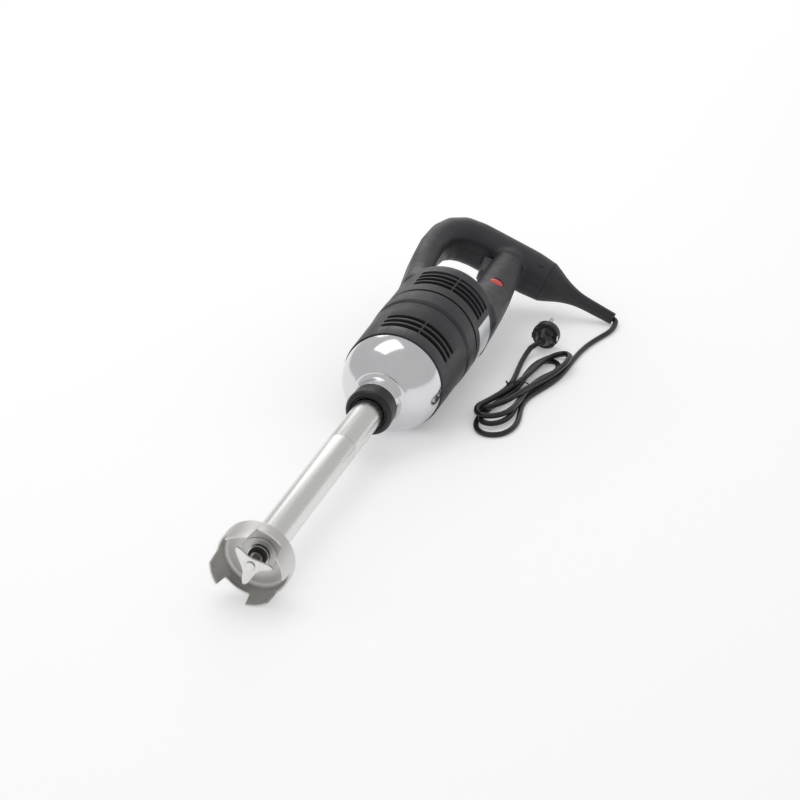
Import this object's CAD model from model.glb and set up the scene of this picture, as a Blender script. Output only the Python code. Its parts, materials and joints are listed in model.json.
"""Immersion blender lying on a pale surface: the look of each piece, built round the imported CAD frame."""

import json
import math

import bmesh
import bpy
import numpy as np
from mathutils import Matrix, Vector


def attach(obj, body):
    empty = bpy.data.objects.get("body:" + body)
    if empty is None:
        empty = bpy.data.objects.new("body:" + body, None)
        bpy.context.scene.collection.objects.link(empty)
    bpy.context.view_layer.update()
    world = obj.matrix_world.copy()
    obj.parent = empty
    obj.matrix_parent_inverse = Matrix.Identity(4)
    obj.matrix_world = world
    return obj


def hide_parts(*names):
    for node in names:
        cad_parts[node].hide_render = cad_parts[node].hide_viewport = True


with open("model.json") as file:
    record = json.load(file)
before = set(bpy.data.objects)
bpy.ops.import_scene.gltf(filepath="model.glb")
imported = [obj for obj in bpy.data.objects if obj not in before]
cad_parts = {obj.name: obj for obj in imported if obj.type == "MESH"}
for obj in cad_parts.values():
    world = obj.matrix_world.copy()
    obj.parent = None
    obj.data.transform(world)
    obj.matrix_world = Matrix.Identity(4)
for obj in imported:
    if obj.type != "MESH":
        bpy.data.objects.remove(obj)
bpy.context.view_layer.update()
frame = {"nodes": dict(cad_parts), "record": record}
NODES = frame["nodes"]
SLOT_OF = {s["node"]: s["material_slot"] for s in frame["record"]["subparts"]}

# ---- the machine's own frame: blade down, axis +Z, vents towards -Y, lead side +X, in millimetres ----

JOINTS = {j["name"]: j for j in frame["record"]["behaviour"]["joints"]}
EZ = Vector(JOINTS["rotor_spin"]["axis"]).normalized()
EY = -Vector(JOINTS["trigger_press"]["axis"]).normalized()
EX = EY.cross(EZ).normalized()
START = Vector(JOINTS["rotor_spin"]["pos_m"]) - 0.300 * EZ
LAY = Matrix.Translation(START) @ Matrix((EX, EY, EZ)).transposed().to_4x4() @ Matrix.Scale(0.001, 4)
MM = Matrix.Scale(0.001, 4)

# sizes repeated from the CAD, in millimetres
GUARD_R, GUARD_WALL, GUARD_H, SHOULDER, NOTCH, FEET_TURN = 40, 1.8, 38, 12, 20, 52
BLADE_R, BLADE_Z, BLADE_T = 24, 11, 1.8
TUBE_R, SEAM_Z, JOURNAL_R = 17.5, 270, 6.6
COLLAR_R, COLLAR_Z, NECK_Z, RIM_Z, RIM_R = 27.3, 353, 377, 438, 58
HOUSING_R, BAND_R, BAND_Z, SHELL_Z = 59.5, 61.5, 523, 556
BODY_TOP, BODY_ROUND, WALL = 634, 14, 3
BAR_Z, BAR_HZ, BAR_HY, LEG_X, PILLAR_X, BOOT_X, TIP_X = 805.5, 22.5, 28, 76, 26, 76, 170.5
PIVOT_Z, BUTTON_X, BUTTON_Z, BUTTON_R = 779, 31.5, 694, 8.5
CORD_D, PLUG_R = 6.5, 16.5
PLUG_AT = Vector((56.6, 287.6, PLUG_R))


# ---- camera ----

def make_camera():
    data = bpy.data.cameras.new("camera")
    data.lens, data.sensor_width = 126, 36
    cam = bpy.data.objects.new("camera", data)
    bpy.context.scene.collection.objects.link(cam)
    cam.location = (0.9219, -2.6779, 1.3784)
    cam.rotation_mode = "QUATERNION"
    cam.rotation_quaternion = Vector((-0.30183, 0.85395, -0.42387)).to_track_quat("-Z", "Y")
    data.clip_start, data.clip_end = 0.05, 100
    bpy.context.scene.camera = cam


make_camera()


# ---- materials ----

def new_material(name):
    m = bpy.data.materials.new(name)
    m.use_nodes = True
    t = m.node_tree
    return m, t, t.nodes["Principled BSDF"]


def texture_space(t, stretch=(1, 1, 1), turn=(0, 0, 0)):
    coord = t.nodes.new("ShaderNodeTexCoord")
    place = t.nodes.new("ShaderNodeMapping")
    place.inputs["Scale"].default_value = stretch
    place.inputs["Rotation"].default_value = turn
    t.links.new(coord.outputs["Object"], place.inputs["Vector"])
    return place.outputs["Vector"]


def noise(t, where, scale, detail=3, rough=0.5):
    n = t.nodes.new("ShaderNodeTexNoise")
    n.inputs["Scale"].default_value = scale
    n.inputs["Detail"].default_value = detail
    n.inputs["Roughness"].default_value = rough
    t.links.new(where, n.inputs["Vector"])
    return n.outputs["Fac"]


def between(t, fac, low, high, start=0.3, end=0.7):
    n = t.nodes.new("ShaderNodeMapRange")
    n.inputs["From Min"].default_value, n.inputs["From Max"].default_value = start, end
    n.inputs["To Min"].default_value, n.inputs["To Max"].default_value = low, high
    t.links.new(fac, n.inputs["Value"])
    return n.outputs["Result"]


def two_colours(t, fac, a, b, start=0.35, end=0.65):
    ramp = t.nodes.new("ShaderNodeValToRGB")
    ramp.color_ramp.elements[0].position, ramp.color_ramp.elements[1].position = start, end
    ramp.color_ramp.elements[0].color, ramp.color_ramp.elements[1].color = (*a, 1), (*b, 1)
    t.links.new(fac, ramp.inputs["Fac"])
    return ramp.outputs["Color"]


def bump(t, shader, height, strength, distance, onto=None):
    b = t.nodes.new("ShaderNodeBump")
    b.inputs["Strength"].default_value, b.inputs["Distance"].default_value = strength, distance
    t.links.new(height, b.inputs["Height"])
    if onto is not None:
        t.links.new(onto, b.inputs["Normal"])
    t.links.new(b.outputs["Normal"], shader.inputs["Normal"])
    return b.outputs["Normal"]


def scaled(c, k):
    return tuple(min(1.0, v * k) for v in c)


def plastic(name, colour, rough=0.45, grain=0.25, spread=0.12, coat=0.0):
    """Moulded plastic: a fine even grain, faint mottling and rubbed patches."""
    m, t, s = new_material(name)
    space = texture_space(t)
    mottle = noise(t, space, 35, 4)
    t.links.new(two_colours(t, mottle, scaled(colour, 1 - spread), scaled(colour, 1 + spread)),
                s.inputs["Base Color"])
    t.links.new(between(t, noise(t, space, 90, 3), rough - 0.05, rough + 0.06), s.inputs["Roughness"])
    if grain:
        bump(t, s, noise(t, space, 2600, 2), grain, 0.00006)
    s.inputs["Specular IOR Level"].default_value = 0.45
    if coat:
        s.inputs["Coat Weight"].default_value, s.inputs["Coat Roughness"].default_value = coat, 0.12
    return m


def metal(name, colour, rough, brushed=None, depth=0.12, spread=0.05, turn=(0, 0, 0)):
    """Metal; brushed is the stretch of its fine scratches in object space."""
    m, t, s = new_material(name)
    s.inputs["Metallic"].default_value = 1.0
    space = texture_space(t, brushed or (1, 1, 1), turn)
    fine = noise(t, space, 900 if brushed else 60, 4, 0.6)
    t.links.new(two_colours(t, fine, scaled(colour, 1 - spread), scaled(colour, 1 + spread)),
                s.inputs["Base Color"])
    t.links.new(between(t, fine, rough * 0.94, rough * 1.08), s.inputs["Roughness"])
    if brushed:
        bump(t, s, fine, depth, 0.00003)
    return m


def rubber(name, colour, rough=0.5):
    m, t, s = new_material(name)
    space = texture_space(t)
    t.links.new(two_colours(t, noise(t, space, 50, 4), scaled(colour, 0.85), scaled(colour, 1.2)),
                s.inputs["Base Color"])
    t.links.new(between(t, noise(t, space, 140, 3), rough - 0.06, rough + 0.08), s.inputs["Roughness"])
    bump(t, s, noise(t, space, 1500, 2), 0.15, 0.00005)
    s.inputs["Specular IOR Level"].default_value = 0.4
    return m


def copper_wire(name, colour):
    m, t, s = new_material(name)
    wave = t.nodes.new("ShaderNodeTexWave")
    wave.inputs["Scale"].default_value = 420
    t.links.new(texture_space(t), wave.inputs["Vector"])
    t.links.new(two_colours(t, wave.outputs["Fac"], scaled(colour, 0.55), scaled(colour, 1.1)),
                s.inputs["Base Color"])
    s.inputs["Roughness"].default_value = 0.3
    s.inputs["Coat Weight"].default_value = 0.6
    bump(t, s, wave.outputs["Fac"], 0.5, 0.0003)
    return m


MAT = {
    "brushed_steel": metal("brushed_steel", (0.76, 0.755, 0.735), 0.27, (1.0, 0.03, 1.0), 0.02, 0.012),
    "satin_steel": metal("satin_steel", (0.66, 0.65, 0.63), 0.42, (1.0, 0.2, 1.0), 0.05, 0.03),
    "polished_nose": metal("polished_nose", (0.71, 0.71, 0.725), 0.14, None, spread=0.02),
    "satin_blade": metal("satin_blade", (0.80, 0.79, 0.77), 0.32, (1.0, 0.3, 0.08), 0.3),
    "bright_steel": metal("bright_steel", (0.78, 0.78, 0.78), 0.2, (0.2, 1.0, 1.0), 0.1),
    "dark_steel": metal("dark_steel", (0.42, 0.40, 0.37), 0.38, (1.0, 0.1, 1.0), 0.2),
    "bronze": metal("bronze", (0.60, 0.42, 0.20), 0.42, None),
    "core_steel": metal("core_steel", (0.16, 0.16, 0.17), 0.5, (0.05, 1.0, 0.05), 0.6),
    "copper": copper_wire("copper", (0.45, 0.20, 0.07)),
    "commutator_copper": metal("commutator_copper", (0.70, 0.40, 0.22), 0.3, (1.0, 0.1, 1.0), 0.3),
    "cast_aluminium": metal("cast_aluminium", (0.60, 0.60, 0.61), 0.5, None, spread=0.12),
    "fan_plastic": plastic("fan_plastic", (0.10, 0.10, 0.10), 0.5),
    "inner_plastic": plastic("inner_plastic", (0.03, 0.03, 0.032), 0.55),
    "brush_board": plastic("brush_board", (0.20, 0.15, 0.08), 0.6),
    "carbon": plastic("carbon", (0.02, 0.02, 0.02), 0.6),
    "black_rubber": rubber("black_rubber", (0.012, 0.012, 0.014), 0.33),
    "boot_rubber": rubber("boot_rubber", (0.024, 0.024, 0.027), 0.42),
    "shell_black": plastic("shell_black", (0.028, 0.028, 0.032), 0.46, 0.35, 0.06),
    "trigger_black": plastic("trigger_black", (0.075, 0.075, 0.080), 0.42, 0.3, 0.06),
    "red_button": plastic("red_button", (0.62, 0.035, 0.02), 0.3, 0.1, 0.08, 0.4),
    "plate": metal("plate", (0.80, 0.81, 0.83), 0.34, (1.0, 0.2, 1.0), 0.12),
    "board_green": plastic("board_green", (0.02, 0.12, 0.05), 0.4),
    "capacitor": plastic("capacitor", (0.45, 0.35, 0.12), 0.4),
    "wire": plastic("wire", (0.03, 0.08, 0.35), 0.4),
    "cord_black": rubber("cord_black", (0.014, 0.014, 0.016), 0.33),
    "plug_black": plastic("plug_black", (0.014, 0.014, 0.016), 0.34, 0.15, 0.1),
    "pin_steel": metal("pin_steel", (0.72, 0.70, 0.66), 0.22, (1.0, 0.2, 1.0), 0.1),
    "vent_dark": plastic("vent_dark", (0.004, 0.004, 0.004), 0.9, 0.1, 0.3),
}
for node_name, slot_name in SLOT_OF.items():
    for ms in NODES[node_name].material_slots:
        ms.material = MAT[slot_name]


# ---- mesh helpers ----

def add_object(name, data, slot, body="body", stands_for=(), material=None):
    piece = bpy.data.objects.new(name, data)
    bpy.context.scene.collection.objects.link(piece)
    if not len(data.materials):
        data.materials.append(MAT[material or slot])
    if stands_for:
        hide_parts(*stands_for)
    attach(piece, body)
    return piece


def shade(bm, limit=38):
    for f in bm.faces:
        f.smooth = True
    for e in bm.edges:
        if len(e.link_faces) == 2:
            e.smooth = e.calc_face_angle(0) < math.radians(limit)


def to_mesh(bm, name, matrix=LAY, limit=38):
    bmesh.ops.recalc_face_normals(bm, faces=bm.faces)
    bm.transform(matrix)
    shade(bm, limit)
    mesh = bpy.data.meshes.new(name)
    bm.to_mesh(mesh)
    bm.free()
    return mesh


def applied(obj):
    """The mesh of obj with its modifiers in it; obj is removed."""
    deps = bpy.context.evaluated_depsgraph_get()
    mesh = bpy.data.meshes.new_from_object(obj.evaluated_get(deps))
    bpy.data.objects.remove(obj)
    return mesh


def temp(mesh, name="temp"):
    obj = bpy.data.objects.new(name, mesh)
    bpy.context.scene.collection.objects.link(obj)
    return obj


def cut(mesh, cutter_mesh, operation="DIFFERENCE", solver="EXACT"):
    """mesh less cutter_mesh, both in the same space."""
    a, b = temp(mesh, "cut_a"), temp(cutter_mesh, "cut_b")
    mod = a.modifiers.new("cut", "BOOLEAN")
    mod.operation, mod.solver, mod.object = operation, solver, b
    out = applied(a)
    bpy.data.objects.remove(b)
    return out


def bevelled(mesh, width, segments=2, angle=35):
    obj = temp(mesh, "bevel")
    mod = obj.modifiers.new("bevel", "BEVEL")
    mod.width, mod.segments, mod.limit_method = width, segments, "ANGLE"
    mod.angle_limit = math.radians(angle)
    mod.use_clamp_overlap = True
    return applied(obj)


def reshade(mesh, limit=38):
    bm = bmesh.new()
    bm.from_mesh(mesh)
    shade(bm, limit)
    bm.to_mesh(mesh)
    bm.free()
    return mesh


def softened(points, radii, steps=6):
    """A closed profile whose corner i is rounded by radii[i]."""
    out, n = [], len(points)
    for i in range(n):
        p = Vector(points[i])
        a, b = Vector(points[i - 1]) - p, Vector(points[(i + 1) % n]) - p
        r = radii[i] if isinstance(radii, (list, tuple)) else radii
        la, lb = a.length, b.length
        if r <= 0 or la < 1e-6 or lb < 1e-6:
            out.append(tuple(p))
            continue
        a.normalize()
        b.normalize()
        half = a.angle(b) / 2
        if half > math.radians(89):
            out.append(tuple(p))
            continue
        d = min(r / math.tan(half), la * 0.49, lb * 0.49)
        r = d * math.tan(half)
        centre = p + (a + b).normalized() * (r / math.sin(half))
        s, e = p + a * d - centre, p + b * d - centre
        turn = s.angle_signed(e) if hasattr(s, "angle_signed") else 0
        for k in range(steps + 1):
            ang = -turn * k / steps
            c, q = math.cos(ang), math.sin(ang)
            out.append((centre.x + s.x * c - s.y * q, centre.y + s.x * q + s.y * c))
    return out


def lathe(profile, segments=192, closed=True, centre=(0, 0)):
    """A bmesh turned round +Z from a profile of (radius, height)."""
    bm = bmesh.new()
    rings = []
    for r, z in profile:
        if r < 1e-6:
            rings.append([bm.verts.new((centre[0], centre[1], z))])
        else:
            rings.append([
                bm.verts.new((
                    centre[0] + r * math.cos(2 * math.pi * k / segments),
                    centre[1] + r * math.sin(2 * math.pi * k / segments), z))
                for k in range(segments)
            ])
    pairs = [(i, i + 1) for i in range(len(rings) - 1)]
    if closed:
        pairs.append((len(rings) - 1, 0))
    for i, j in pairs:
        a, b = rings[i], rings[j]
        if len(a) == 1 and len(b) == 1:
            continue
        for k in range(segments):
            n = (k + 1) % segments
            if len(a) == 1:
                bm.faces.new((a[0], b[k], b[n]))
            elif len(b) == 1:
                bm.faces.new((a[k], b[0], a[n]))
            else:
                bm.faces.new((a[k], a[n], b[n], b[k]))
    return bm


def turned(name, profile, slot, body="body", stands_for=(), segments=192, limit=38, matrix=LAY,
           material=None):
    return add_object(name, to_mesh(lathe(profile, segments), name, matrix, limit), slot, body, stands_for,
                      material)


def sector_cutter(bm, r_in, r_out, z0, z1, a0, a1, steps=24, ends=(0.0, 0.0)):
    """A block between two radii and two directions, for a curved slot; ends are its rounded ends."""
    rows = []
    for k in range(steps + 1):
        a = a0 + (a1 - a0) * k / steps
        c, s = math.cos(math.radians(a)), math.sin(math.radians(a))
        pinch = 0.0
        for rounding, gone in ((ends[0], k), (ends[1], steps - k)):
            near = gone * math.radians(abs(a1 - a0)) / steps * r_out
            if rounding and near < rounding:
                pinch = rounding - math.sqrt(max(0.0, rounding ** 2 - (rounding - near) ** 2))
        pinch = min(pinch, (z1 - z0) * 0.42)
        rows.append([bm.verts.new((r * c, r * s, z)) for r, z in (
            (r_in, z0 + pinch), (r_out, z0 + pinch), (r_out, z1 - pinch), (r_in, z1 - pinch))])
    for p, q in zip(rows, rows[1:]):
        for k in range(4):
            n = (k + 1) % 4
            bm.faces.new((p[k], p[n], q[n], q[k]))
    bm.faces.new(rows[0])
    bm.faces.new(rows[-1][::-1])


def vent_cutters(z0, rows, step, r, depth=8, width=7.3, spread=45, web=0.75):
    bm = bmesh.new()
    for face in (-90, 90):
        for side in (-1, 1):
            mid = face + side * (spread / 2 + web)
            for k in range(rows):
                z = z0 + k * step
                ends = (0.0, 3.0) if side > 0 else (3.0, 0.0)
                sector_cutter(bm, r - depth, r + 5, z, z + width, mid - spread / 2, mid + spread / 2, 30,
                              ends)
    bmesh.ops.recalc_face_normals(bm, faces=bm.faces)
    bm.transform(LAY)
    mesh = bpy.data.meshes.new("vent_cutters")
    bm.to_mesh(mesh)
    bm.free()
    mesh.materials.append(MAT["vent_dark"])
    return mesh


# ---- the mains lead: one length, laid out by hand and settled so that its turns lie on each other ----

def catmull(points, per):
    p = [np.array(q, float) for q in points]
    out = []
    for i in range(len(p) - 1):
        a, b, c, d = p[max(i - 1, 0)], p[i], p[i + 1], p[min(i + 2, len(p) - 1)]
        for k in range(per):
            t = k / per
            square, cube = 2 * a - 5 * b + 4 * c - d, 3 * b - a - 3 * c + d
            out.append(0.5 * (2 * b + t * (c - a) + t * t * square + t ** 3 * cube))
    out.append(p[-1])
    return np.array(out)


def resample(path, step):
    seg = np.linalg.norm(np.diff(path, axis=0), axis=1)
    s = np.concatenate([[0], np.cumsum(seg)])
    n = max(2, int(round(s[-1] / step)))
    want = np.linspace(0, s[-1], n + 1)
    return np.stack([np.interp(want, s, path[:, k]) for k in range(3)], axis=1)


def settle(path, d, rounds=260):
    """Pushes apart parts of the path nearer than d, keeps it smooth and on the floor, and holds its ends."""
    home, p = path.copy(), path.copy()
    n = len(p)
    idx = np.arange(n)
    far = np.abs(idx[:, None] - idx[None, :]) > 4
    hold = np.ones(n)
    hold[:2] = 0
    hold[-4:] = 0
    for r in range(rounds):
        q = p.copy()
        q[1:-1] += 0.25 * (0.5 * (p[:-2] + p[2:]) - p[1:-1])
        q[2:-2] -= 0.04 * (p[:-4] - 4 * p[1:-3] + 6 * p[2:-2] - 4 * p[3:-1] + p[4:])
        for _ in range(2):
            diff = q[:, None, :] - q[None, :, :]
            dist = np.linalg.norm(diff, axis=2) + 1e-6
            near = far & (dist < d * 1.01)
            push = np.where(near, (d * 1.01 - dist) / dist * 0.5, 0.0)
            q += (diff * push[:, :, None]).sum(1) * 0.6
            q[:, 2] = np.maximum(q[:, 2], d / 2)
        q += 0.02 * (home - q)
        q[:, 2] -= 0.02
        q[:, 2] = np.maximum(q[:, 2], d / 2)
        p = p + (q - p) * hold[:, None]
    return p


def meshed(curve):
    """The curve's tube as a smooth mesh."""
    obj = temp(curve, "tube")
    bpy.context.view_layer.update()
    mesh = bpy.data.meshes.new_from_object(obj.evaluated_get(bpy.context.evaluated_depsgraph_get()))
    bpy.data.objects.remove(obj)
    bpy.data.curves.remove(curve)
    for face in mesh.polygons:
        face.use_smooth = len(face.vertices) < 5
    mesh.materials.clear()
    return mesh


def machine_to_row(x, y, z):
    """A place on the machine, in the row frame, in millimetres."""
    return LAY @ Vector((x, y, z)) * 1000


def lead_points():
    tail = machine_to_row(TIP_X - 4, 0, BAR_Z)
    mouth = machine_to_row(TIP_X, 0, BAR_Z)
    free = [tuple(tail), tuple(mouth), (119, 392, 5.2), (122.5, 386, 4.1), (124, 378, 3.5),
            (123.2, 368, 3.3), (119.5, 357, 3.3),
            (113.5, 346, 3.3), (107.5, 332, 3.3), (103.5, 315, 3.3), (101, 298, 3.3), (100, 280, 3.3),
            (99, 262, 3.3),
            (99.5, 244, 3.3), (99.5, 222, 3.3), (94, 190, 3.3), (86, 169, 3.3), (80, 156, 3.3)]
    turn_1 = [(77, 140, 3.3), (79, 118, 3.3), (87, 98, 3.3), (92, 74, 3.3), (90, 48, 3.3), (79, 33, 3.3),
              (63, 30, 3.3),
              (50, 38, 3.3), (43, 53, 3.3), (41, 74, 3.3), (47, 104, 3.3), (58, 134, 3.3), (61, 155, 3.3),
              (60, 182, 3.3), (59, 215, 3.3), (62, 245, 3.3), (70, 269, 3.6), (81, 284, 5), (94, 285, 8),
              (102, 271, 9.8),
              (102, 247, 9.8), (94, 215, 8), (80, 182, 4)]
    turn_2 = [(70, 155, 4), (73, 128, 5), (78, 104, 7), (81, 78, 8), (73, 56, 8), (58, 46, 9.5),
              (45, 56, 10), (41, 78, 10),
              (50, 106, 9), (61, 134, 9), (66, 155, 9.5), (66, 182, 10), (61, 212, 9), (60, 238, 6),
              (66, 259, 4), (79, 267, 3.5),
              (91, 257, 3.5), (95, 234, 4), (88, 204, 7), (79, 178, 9.5)]
    turn_3 = [(75, 155, 9.5), (77, 130, 10), (80, 104, 12), (77, 74, 14), (64, 58, 15), (48, 54, 14),
              (38, 64, 13), (37, 84, 12),
              (45, 106, 12), (57, 134, 14), (63, 155, 15.5), (69, 182, 15), (69, 212, 12), (70, 242, 10),
              (78, 266, 11),
              (92, 273, 14), (104, 259, 16), (104, 232, 16), (96, 202, 13), (86, 176, 13)]
    turn_4 = [(78, 155, 14), (74, 130, 15), (68, 104, 16), (56, 84, 16), (40, 76, 12), (29, 84, 8),
              (30, 102, 6), (41, 126, 5),
              (52, 146, 7), (55, 166, 8)]
    far = [(51, 192, 6), (46, 222, 5), (43, 250, 6), (46, 268, 10), (52.5, 276, 14), (56.6, 280, 16.5),
           (56.6, 286, 16.5)]
    return free + turn_1 + turn_2 + turn_3 + turn_4 + far


def make_lead():
    path = resample(catmull(lead_points(), 10), 7.0)
    path = settle(path, CORD_D, 260)
    path = resample(path, 7.0)
    curve = bpy.data.curves.new("mains_lead", "CURVE")
    curve.dimensions = "3D"
    curve.bevel_depth = CORD_D / 2000
    curve.bevel_resolution = 5
    curve.resolution_u = 4
    spline = curve.splines.new("BEZIER")
    spline.bezier_points.add(len(path) - 1)
    for b, q in zip(spline.bezier_points, path):
        b.co = q / 1000
        b.handle_left_type = b.handle_right_type = "AUTO"
    curve.use_fill_caps = True
    length = float(np.linalg.norm(np.diff(path, axis=0), axis=1).sum()) / 1000
    lead = add_object("mains_lead", meshed(curve), "cord_black", "body", ("power_cord", "cord_hank"))
    print("lead length", round(length, 3), "box", path.min(0).round(1), path.max(0).round(1))
    return lead, length, [tuple(float(v) for v in q / 1000) for q in path]


LEAD, LEAD_LENGTH, LEAD_PATH = make_lead()


# ---- plug and tie ----

AT_PLUG = MM @ Matrix.Translation(PLUG_AT) @ Matrix.Rotation(math.radians(-90), 4, "X")


def make_plug():
    """Round two-pole plug: a disc with a guide notch either side, and a narrower grip with finger hollows."""
    disc = softened([(0, 7), (PLUG_R, 7), (PLUG_R, 18), (0, 18)], [0, 1.6, 1.2, 0])
    body = to_mesh(lathe(disc, 96), "plug_disc", AT_PLUG)
    for side in (0, 180):
        bm = bmesh.new()
        bmesh.ops.create_cube(bm, size=1, matrix=Matrix.Rotation(math.radians(side + 40), 4, "Z")
                              @ Matrix.Translation((PLUG_R - 1.0, 0, 12)) @ Matrix.Diagonal((6, 4.6, 14,
                                                                                             1)))
        body = cut(body, to_mesh(bm, "notch", AT_PLUG))
    grip = softened([(0, -9), (5.4, -9), (7.2, -3), (10.5, 2), (12.5, 8), (0, 8)], [0, 1, 3, 4, 1, 0])
    neck = to_mesh(lathe(grip, 96), "plug_grip", AT_PLUG)
    for side in (0, 180):
        bm = bmesh.new()
        bmesh.ops.create_uvsphere(bm, u_segments=48, v_segments=24, radius=1,
                                  matrix=Matrix.Rotation(math.radians(side + 130), 4, "Z")
                                  @ Matrix.Translation((14.5, 0, 1)) @ Matrix.Diagonal((7, 9, 7.5, 1)))
        neck = cut(neck, to_mesh(bm, "hollow", AT_PLUG))
    whole = cut(body, neck, "UNION")
    plug = add_object("plug", reshade(bevelled(whole, 0.0004, 2, 40), 40), "plug_black", "body",
                      ("plug_body",))
    return plug


PLUG = make_plug()


def make_tie():
    """A wire tie: one loop round the waist of the hank, its ends twisted together."""
    at = Vector((67.5, 155.5, 0))
    loop = []
    for k in range(48):
        a = 2 * math.pi * k / 48
        loop.append(at + Vector((15.2 * math.cos(a), 1.6 * math.sin(a * 2), 9.9 + 9.0 * math.sin(a))))
    curve = bpy.data.curves.new("tie", "CURVE")
    curve.dimensions = "3D"
    curve.bevel_depth, curve.bevel_resolution = 0.00075, 3
    s = curve.splines.new("NURBS")
    s.points.add(len(loop) - 1)
    for q, v in zip(s.points, loop):
        q.co = (*(v / 1000), 1)
    s.use_cyclic_u = True
    s.order_u = 4
    for phase in (0, math.pi):
        s = curve.splines.new("NURBS")
        n = 26
        s.points.add(n - 1)
        for k in range(n):
            t = k / (n - 1)
            ang = phase + t * 3.5 * math.pi
            base = at + Vector((-13.5 - 4 * t, 1 + 4 * t, 12 + 2.0 * t))
            off = Vector((0, math.cos(ang), math.sin(ang))) * 0.8
            s.points[k].co = (*((base + off) / 1000), 1)
        s.order_u, s.use_endpoint_u = 4, True
    return add_object("tie", meshed(curve), "plug_black", "body", ("cord_tie",))


TIE = make_tie()


# ---- foot ----

def make_guard():
    r, w, h = GUARD_R, GUARD_WALL, GUARD_H
    outer = softened([(TUBE_R, h + 3), (r - SHOULDER + 1, h), (r, h), (r, 0)], [0, 6, 11, 0], 10)
    inner = softened([(r - w, 0), (r - w, h - w), (r - SHOULDER, h - w), (TUBE_R, h - w)], [0, 10, 4, 0],
                     10)
    mesh = to_mesh(lathe(outer + inner, 256), "guard", LAY)
    bm = bmesh.new()
    tip, end = r * math.sin(math.radians(25)), r * math.sin(math.radians(20.5))
    for k in range(4):
        turn = Matrix.Rotation(math.radians(FEET_TURN + 45 + 90 * k), 4, "Z")
        rows = []
        for x in (r - 16, r + 3):
            rows.append([bm.verts.new(turn @ Vector((x, y, z))) for y, z in (
                (-tip - 1.2, -3), (tip + 1.2, -3), (end + 1.2, NOTCH - 2), (end, NOTCH - 0.5),
                                                                             (end - 1.5, NOTCH),
                (-end + 1.5, NOTCH), (-end, NOTCH - 0.5), (-end - 1.2, NOTCH - 2))])
        for i in range(8):
            j = (i + 1) % 8
            bm.faces.new((rows[0][i], rows[0][j], rows[1][j], rows[1][i]))
        bm.faces.new(rows[0])
        bm.faces.new(rows[1][::-1])
    mesh = cut(mesh, to_mesh(bm, "notches", LAY))
    mesh = bevelled(mesh, 0.00035, 2, 50)
    add_object("guard", reshade(mesh, 40), "brushed_steel", "body", ("blade_guard",), "satin_steel")


def make_blade():
    """Three wings with a short square tip, ground along both long edges."""
    pts = []
    for a in (-150, -26, 87):
        for rr, da in ((0.86, -10.5), (1.0, -2.5), (1.0, 2.5), (0.84, 9.0), (0.47, 27)):
            pts.append((BLADE_R * rr * math.cos(math.radians(a + da)),
                        BLADE_R * rr * math.sin(math.radians(a + da))))
        pts.append((BLADE_R * 0.40 * math.cos(math.radians(a + 61)),
                    BLADE_R * 0.40 * math.sin(math.radians(a + 61))))
    bm = bmesh.new()
    low = bm.faces.new([bm.verts.new((x, y, BLADE_Z)) for x, y in pts])
    up = bmesh.ops.extrude_face_region(bm, geom=[low])
    bmesh.ops.translate(bm, verts=[v for v in up["geom"] if isinstance(v, bmesh.types.BMVert)],
                        vec=(0, 0, BLADE_T))
    bmesh.ops.recalc_face_normals(bm, faces=bm.faces)
    for f in [f for f in bm.faces if abs(f.normal.z) > 0.9]:
        z = f.calc_center_median().z
        rim = list(f.verts)
        bmesh.ops.inset_region(bm, faces=[f], thickness=1.3, use_even_offset=True)
        for v in rim:
            v.co.z = BLADE_Z + BLADE_T / 2 + (0.3 if z > BLADE_Z + 0.5 else -0.3)
    add_object("ground_blade", to_mesh(bm, "ground_blade", LAY, 12), "satin_blade", "rotor", ("blade",))


make_guard()
make_blade()
turned("rivet_head", softened([(0, BLADE_Z - 1.4), (4.6, BLADE_Z - 1.4), (5.2, BLADE_Z), (0, BLADE_Z)],
                              [0, 0.9, 0.2, 0]), "bright_steel", "rotor", ("blade_rivet",), 64)
ROOF = GUARD_H - GUARD_WALL
turned("seal_lips", softened([
    (JOURNAL_R + 0.15, ROOF), (10.2, ROOF), (10.2, ROOF - 6.4), (9.8, ROOF - 7.8), (9.2, ROOF - 8.6),
                              (8.2, ROOF - 8.8),
    (7.6, ROOF - 7.8), (JOURNAL_R + 0.15, ROOF - 8.2)],
    [0, 0.4, 1.0, 1.0, 0.6, 0.5, 0.6, 0.2]), "black_rubber", "body", ("shaft_seal",), 96)
turned("roof_face", softened([(10.6, ROOF - 0.2), (TUBE_R + 1.5, ROOF - 0.2), (TUBE_R + 1.5, ROOF - 0.6),
                              (10.6, ROOF - 0.6)],
                             [0, 0, 0.1, 0.15]), "brushed_steel", "body", ("blade_guard",), 128,
       material="satin_steel")


def make_tubes():
    lo, hi = GUARD_H - GUARD_WALL, SEAM_Z - 0.25
    inner = TUBE_R - 1.5
    turned("tube_lower", softened([(inner, lo), (TUBE_R, lo), (TUBE_R, hi), (inner, hi)], [0, 0, 0.35, 0]),
           "brushed_steel", "body", ("lower_tube",), 128)
    lo, hi = SEAM_Z + 0.25, NECK_Z + 8
    turned("tube_upper", softened([(inner, lo), (TUBE_R, lo), (TUBE_R, hi), (inner, hi)], [0, 0.35, 0, 0]),
           "brushed_steel", "body", ("upper_sleeve",), 128)


make_tubes()

# ---- collar and nose ----

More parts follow.
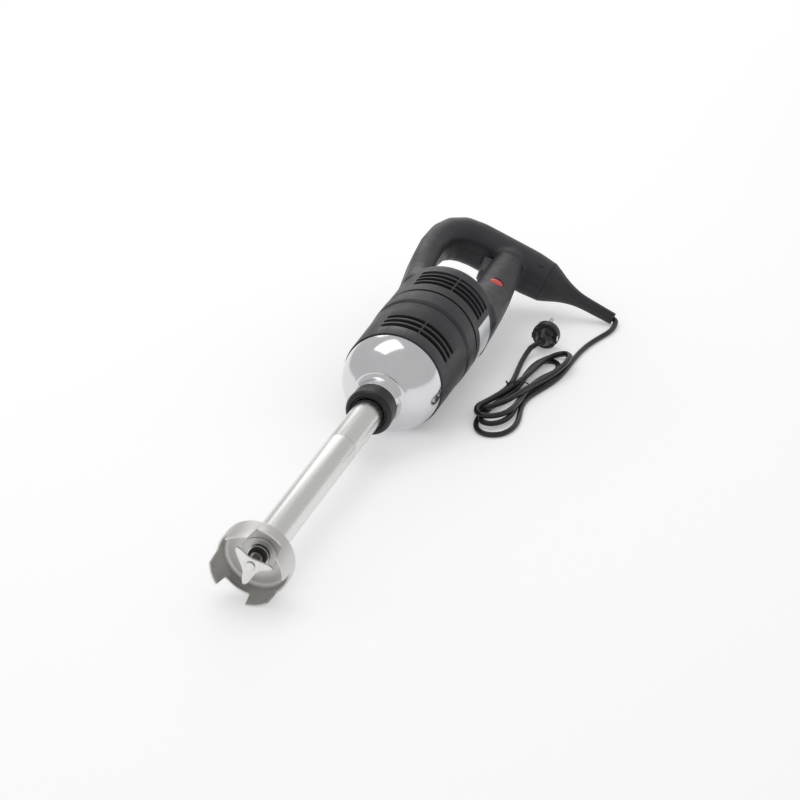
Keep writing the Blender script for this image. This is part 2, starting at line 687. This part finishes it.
turned("collar_lip", softened([
    (TUBE_R + 0.35, COLLAR_Z + 5.4), (TUBE_R + 0.9, COLLAR_Z + 3.4), (TUBE_R + 2.6, COLLAR_Z + 3.0),
                               (TUBE_R + 4.0, COLLAR_Z + 0.6),
    (COLLAR_R - 2.5, COLLAR_Z + 0.2), (COLLAR_R, COLLAR_Z + 4.5), (COLLAR_R - 0.5, COLLAR_Z + 13),
                               (COLLAR_R - 1.0, NECK_Z - 2),
    (COLLAR_R - 1.0, NECK_Z), (TUBE_R + 0.35, NECK_Z)],
    [0.3, 0.8, 0.9, 2.5, 3.2, 4.5, 4, 0.8, 0.3, 0], 8), "black_rubber", "body", ("collar",), 160)


def make_nose():
    """Neck with a concave foot, then the dome."""
    c, rr = 5.7, RIM_R - 5.7
    outer = [(26.0, NECK_Z), (26.2, NECK_Z + 2), (26.9, NECK_Z + 8)]
    # fillet between the neck and the dome's shoulder
    for k in range(11):
        a = math.radians(8 + 76 * k / 10)
        outer.append((27.1 + 5.4 * (1 - math.cos(a)) / 0.9, NECK_Z + 9.6 + 5.6 * math.sin(a)))
    first = math.degrees(math.acos((35.6 - c) / rr))
    for k in range(61):
        a = math.radians(-first * (1 - k / 60))
        outer.append((c + rr * math.cos(a), RIM_Z + rr * math.sin(a)))
    inner = [(RIM_R - 2.5, RIM_Z), (RIM_R - 2.5, RIM_Z + 6), (RIM_R - 5.5, RIM_Z + 6),
             (RIM_R - 5.5, RIM_Z - 10),
             (30, NECK_Z + 22), (22, NECK_Z + 22), (22, NECK_Z)]
    turned("nose_dome", outer + inner, "polished_nose", "body", ("nose_cover",), 256, 30)


make_nose()

# ---- housing ----


def make_housing():
    r = HOUSING_R
    profile = softened([
        (r - WALL, RIM_Z + 0.3), (r, RIM_Z + 0.3), (r + 0.8, BAND_Z - 12), (r + 1.4, BAND_Z - 4.5),
                        (r - 0.9, BAND_Z - 0.4),
        (r - WALL, BAND_Z - 0.4)], [0, 0.8, 6, 1.5, 1.2, 0])
    mesh = to_mesh(lathe(profile, 256), "housing", LAY)
    mesh.materials.append(MAT["shell_black"])
    mesh = cut(mesh, vent_cutters(457.5, 3, 10.8, r, 8))
    mesh = bevelled(mesh, 0.0003, 2, 45)
    add_object("front_housing", reshade(mesh, 40), "shell_black", "body", ("lower_housing",))
    turned("raised_band", softened([
        (r - WALL, BAND_Z + 0.2), (BAND_R - 2.6, BAND_Z + 0.2), (BAND_R - 0.1, BAND_Z + 4.5),
                                    (BAND_R, SHELL_Z - 5),
        (BAND_R - 2.3, SHELL_Z - 0.4), (r - WALL, SHELL_Z - 0.4)], [0, 1.4, 3, 3, 1.2, 0]), "shell_black",
           "body", ("middle_band",), 256)


make_housing()


def hull_into(bm, blobs):
    """Adds the convex hull of several ellipsoids (centre, half sizes) to bm."""
    part = bmesh.new()
    for (cx, cy, cz), (hx, hy, hz) in blobs:
        for i in range(23):
            lat = math.pi * (i / 22 - 0.5)
            for k in range(40 if 0 < i < 22 else 1):
                lon = 2 * math.pi * k / 40
                part.verts.new((cx + hx * math.cos(lat) * math.cos(lon),
                                cy + hy * math.cos(lat) * math.sin(lon), cz + hz * math.sin(lat)))
    bmesh.ops.convex_hull(part, input=part.verts)
    for v in [v for v in part.verts if not v.link_faces]:
        part.verts.remove(v)
    bmesh.ops.recalc_face_normals(part, faces=part.faces)
    mesh = bpy.data.meshes.new("hull")
    part.to_mesh(mesh)
    part.free()
    bm.from_mesh(mesh)
    bpy.data.meshes.remove(mesh)


def lump(x, z, hx, hy, hz):
    return [((x, s * 0.4 * hy, z), (hx, 0.6 * hy, hz)) for s in (-1, 1)]


def make_handle():
    """The upper body and the D-shaped handle, blended into one form and parted at the mid-plane."""
    bm = bmesh.new()
    r, top, rr = BAND_R - 0.5, BODY_TOP, BODY_ROUND
    profile = [(0, SHELL_Z - 14), (r, SHELL_Z - 14)]
    profile += [(r - rr + rr * math.cos(math.radians(a)),
                 top - rr + rr * math.sin(math.radians(a))) for a in range(0, 91, 6)]
    profile.append((0, top))
    body = lathe(profile, 128)
    bmesh.ops.recalc_face_normals(body, faces=body.faces)
    mesh = bpy.data.meshes.new("body_part")
    body.to_mesh(mesh)
    body.free()
    bm.from_mesh(mesh)
    low, bar = BODY_TOP + 56, lump(52, BAR_Z, 20, BAR_HY, BAR_HZ)
    leg = [lump(*v) for v in (
        (-44, BODY_TOP - 22, 17, 36, 14), (-51, BODY_TOP + 16, 15.5, 29, 14),
                              (-58, BODY_TOP + 56, 15.5, 26, 14),
        (-62, BODY_TOP + 95, 15.5, 25, 14), (-60, BAR_Z - 42, 17, 25.5, 17), (-51, BAR_Z - 20, 20, 27, 20),
        (-38, BAR_Z - 7, 22, 28, 22), (-20, BAR_Z - 2, 22, BAR_HY, BAR_HZ))]
    for a, b in zip(leg, leg[1:] + [bar]):
        hull_into(bm, a + b)
    hull_into(bm, bar + lump(BOOT_X + 10, BAR_Z, 9, BAR_HY - 3.5, BAR_HZ - 1.5))
    hull_into(bm, lump(PILLAR_X + 5, BODY_TOP - 15, 30, 46, 14) + lump(PILLAR_X + 7, low, 24.5, 31, 15))
    hull_into(bm, lump(PILLAR_X + 7, low, 24.5, 31, 15) + lump(PILLAR_X, BAR_Z - 14, 18.5, 25, 14))
    hull_into(bm, lump(PILLAR_X, BAR_Z - 24, 20.5, 27, 5) + lump(PILLAR_X, BAR_Z - 10, 22, 27, 4))
    mesh = bpy.data.meshes.new("blend")
    bm.to_mesh(mesh)
    bm.free()
    obj = temp(mesh, "blend")
    mod = obj.modifiers.new("remesh", "REMESH")
    mod.mode, mod.voxel_size = "VOXEL", 1.4
    mod = obj.modifiers.new("smooth", "SMOOTH")
    mod.factor, mod.iterations = 0.5, 20
    mesh = applied(obj)
    mesh.transform(LAY)
    mesh.materials.clear()
    mesh.materials.append(MAT["shell_black"])
    for side, name in ((-1, "handle_front"), (1, "handle_back")):
        bm = bmesh.new()
        bmesh.ops.create_cube(bm, size=1, matrix=Matrix.Translation((BOOT_X - 200.15, side * 100.12,
                                                                     SHELL_Z + 200.3))
                              @ Matrix.Diagonal((400, 200, 400, 1)))
        space = to_mesh(bm, "half_space", LAY)
        space.materials.append(MAT["shell_black"])
        half = cut(mesh.copy(), space, "INTERSECT", "MANIFOLD")
        half = cut(half, vent_cutters(572, 4, 9.4, BAND_R, 9), "DIFFERENCE", "MANIFOLD")
        half = cut(half, handle_cuts(side), "DIFFERENCE", "MANIFOLD")
        node = "handle_shell_front" if side < 0 else "handle_shell_back"
        add_object(name, reshade(half, 40), "shell_black", "body", (node,))


# the screws that hold the two halves, sunk into the back
SCREWS = ((-LEG_X + 14, 730), (-LEG_X + 40, BAR_Z + 11), (44, BAR_Z + 14), (-50, 652))
# seat of the small round plug on the bar's face, below the middle: its axis leans with the surface
PLUG_SEAT = (Matrix.Translation((62.5, -25.3, BAR_Z - 12)) @ Matrix.Rotation(math.radians(90 + 26), 4, "X"))


def handle_cuts(side):
    """The trigger's slot, the lock button's seat and the screw plug's seat."""
    bm = bmesh.new()
    bmesh.ops.create_cube(bm, size=1, matrix=Matrix.Translation((9.5, 0,
                                                                 PIVOT_Z - 23)) @ Matrix.Diagonal((30, 18.4,
                                                                                                   54, 1)))
    if side < 0:
        bmesh.ops.create_cone(bm, cap_ends=True, segments=64, radius1=BUTTON_R + 0.35,
                              radius2=BUTTON_R + 0.35, depth=32,
                              matrix=Matrix.Translation((BUTTON_X, -26,
                                                         BUTTON_Z)) @ Matrix.Rotation(math.radians(90), 4,
                                                                                      "X"))
        bmesh.ops.create_cone(bm, cap_ends=True, segments=48, radius1=3.4, radius2=3.4, depth=10,
                              matrix=PLUG_SEAT @ Matrix.Translation((0, 0, 4)))
    else:
        for x, z in SCREWS:
            bmesh.ops.create_cone(bm, cap_ends=True, segments=48, radius1=3.5, radius2=3.5, depth=46,
                                  matrix=Matrix.Translation((x, 37, z)) @ Matrix.Rotation(math.radians(90),
                                                                                          4, "X"))
    mesh = to_mesh(bm, "cuts", LAY)
    mesh.materials.append(MAT["shell_black"])
    return mesh


make_handle()


def make_controls():
    # trigger: a rounded paddle with a foot, in the pillar's slot
    bm = bmesh.new()
    low, high = PIVOT_Z - 36, PIVOT_Z - 6.5
    hull_into(bm, [((x, y, z), (2.6, 2.6, 2.6)) for y in (-5.9, 5.9) for x, z in (
        (-0.6, high), (5.5, high + 1.6), (14, high + 1.6), (4.6, low), (14, low))])
    hull_into(bm, [((x, y, z), (1.5, 1.5, 1.5)) for y in (-5.5, 5.5) for x,
                   z in ((7.5, low), (14, low), (7, low - 7.5), (14, low - 7.5))])
    mesh = to_mesh(bm, "trigger_paddle", LAY, 30)
    add_object("trigger_paddle", mesh, "trigger_black", "trigger", ("trigger",))
    # lock button: a domed disc
    at = LAY @ Matrix.Translation((BUTTON_X, 0, BUTTON_Z)) @ Matrix.Rotation(math.radians(90), 4, "X")
    dome = [(0, 18), (BUTTON_R, 18), (BUTTON_R, 28.6)]
    for k in range(1, 13):
        a = math.radians(90 * k / 12)
        dome.append((BUTTON_R * math.cos(a) if k < 12 else 0, 28.6 + 1.6 * math.sin(a)))
    turned("red_cap", dome, "red_button", "lock_button", ("lock_button",), 96, 50, at)
    # screw plug
    turned("screw_cap", softened([(0, -4), (3.2, -4), (3.2, 0.2), (2.6, 0.5), (0, 0.5)],
                                 [0, 0, 0.3, 0.3, 0]),
           "shell_black", "body", ("screw_plugs",), 48, 38, LAY @ PLUG_SEAT)


make_controls()


# ---- cord side ----

def make_boot():
    """Flared boot from the bar's end to the strain relief: a straight tail with one long crease."""
    stations = [
        # x, half y, half z, squareness
        (BOOT_X + 0.2, BAR_HY - 2.2, BAR_HZ - 0.9, 2.45), (BOOT_X + 6, 23.6, 20.2, 2.35),
                (BOOT_X + 14, 19.8, 18.0, 2.25),
        (BOOT_X + 22, 15.8, 15.3, 2.2), (BOOT_X + 30, 12.6, 12.6, 2.3), (BOOT_X + 38, 10.2, 10.4, 2.4),
        (BOOT_X + 46, 8.7, 8.8, 2.4), (BOOT_X + 56, 8.0, 8.0, 2.4), (TIP_X - 20, 7.5, 7.5, 2.4),
        (TIP_X - 1.0, 7.0, 7.0, 2.4), (TIP_X, 6.3, 6.3, 2.3)]
    bm = bmesh.new()
    segments, rows, dense = 72, [], []
    xs = [s[0] for s in stations]
    cols = np.array([s[1:] for s in stations], float)
    for x in np.concatenate([np.linspace(xs[0], xs[-2], 70), [TIP_X - 0.4, TIP_X]]):
        dense.append((x, *[np.interp(x, xs, cols[:, k]) for k in range(3)]))
    arr = np.array(dense)
    for _ in range(6):
        arr[2:-3, 1:] = (arr[1:-4, 1:] + arr[2:-3, 1:] + arr[3:-2, 1:]) / 3
    for x, hy, hz, sq in arr:
        row = []
        for k in range(segments):
            a = 2 * math.pi * k / segments
            c, s = math.cos(a), math.sin(a)
            rad = (abs(c) ** sq + abs(s) ** sq) ** (-1 / sq)
            y, z = hy * rad * c, hz * rad * s
            # crease along the front, below the middle
            off = (math.degrees(a) - 212 + 180) % 360 - 180
            deep = 1.1 * math.exp(-(off / 7.0) ** 2) * min(1.0, max(0.0, (x - BOOT_X - 4) / 10))
            k2 = 1 - deep / max(hy, hz)
            row.append(bm.verts.new((x, y * k2, BAR_Z + z * k2)))
        rows.append(row)
    for p, q in zip(rows, rows[1:]):
        for k in range(segments):
            n = (k + 1) % segments
            bm.faces.new((p[k], p[n], q[n], q[k]))
    bm.faces.new(rows[0])
    # the tail's end face, with the hole that the lead leaves through
    bore, step = CORD_D / 2 + 0.25, 2 * math.pi / segments
    hole = [bm.verts.new((TIP_X, bore * math.cos(k * step), BAR_Z + bore * math.sin(k * step)))
            for k in range(segments)]
    deep = [bm.verts.new((TIP_X - 8, v.co.y, v.co.z)) for v in hole]
    for a, b in ((rows[-1], hole), (hole, deep)):
        for k in range(segments):
            n = (k + 1) % segments
            bm.faces.new((a[k], a[n], b[n], b[k]))
    bm.faces.new(deep)
    add_object("boot_and_tail", to_mesh(bm, "boot_and_tail", LAY, 50), "black_rubber", "body",
               ("cord_boot", "strain_relief"), "boot_rubber")


make_boot()

# ---- surface and light ----


def make_stage():
    bm = bmesh.new()
    bmesh.ops.create_grid(bm, x_segments=1, y_segments=1, size=12)
    mesh = bpy.data.meshes.new("surface")
    bm.to_mesh(mesh)
    bm.free()
    floor = bpy.data.objects.new("surface", mesh)
    bpy.context.scene.collection.objects.link(floor)
    m, t, s = new_material("surface")
    s.inputs["Base Color"].default_value = (0.92, 0.92, 0.93, 1)
    s.inputs["Roughness"].default_value = 0.75
    s.inputs["Specular IOR Level"].default_value = 0.1
    s.inputs["Emission Color"].default_value = (1, 1, 1, 1)
    s.inputs["Emission Strength"].default_value = 0.25
    mesh.materials.append(m)
    world = bpy.data.worlds.new("world")
    world.use_nodes = True
    world.node_tree.nodes["Background"].inputs["Color"].default_value = (1, 1, 1, 1)
    world.node_tree.nodes["Background"].inputs["Strength"].default_value = 0.60
    bpy.context.scene.world = world
    for name, where, aim, size, power, shine in (
            ("top", (-0.5, 0.5, 2.0), (0, 0.1, 0), (1.6, 1.2), 7, True),
            ("back", (-0.9, 2.5, 0.9), (0, 0.1, 0.05), (1.5, 1.4), 7, True),
            ("front", (0.3, -2.2, 1.6), (0, 0, 0), (1.6, 1.0), 3, False),
            ("side", (-1.8, -0.6, 0.8), (0, 0, 0), (0.9, 1.2), 2, False)):
        data = bpy.data.lights.new(name, "AREA")
        data.shape, data.size, data.size_y, data.energy = "RECTANGLE", size[0], size[1], power
        lamp = bpy.data.objects.new(name, data)
        lamp.location = where
        lamp.rotation_mode = "QUATERNION"
        lamp.rotation_quaternion = (Vector(aim) - Vector(where)).to_track_quat("-Z", "Y")
        lamp.visible_glossy = shine
        bpy.context.scene.collection.objects.link(lamp)
    view = bpy.context.scene.view_settings
    view.view_transform = "Standard"
    view.look = "None"


make_stage()
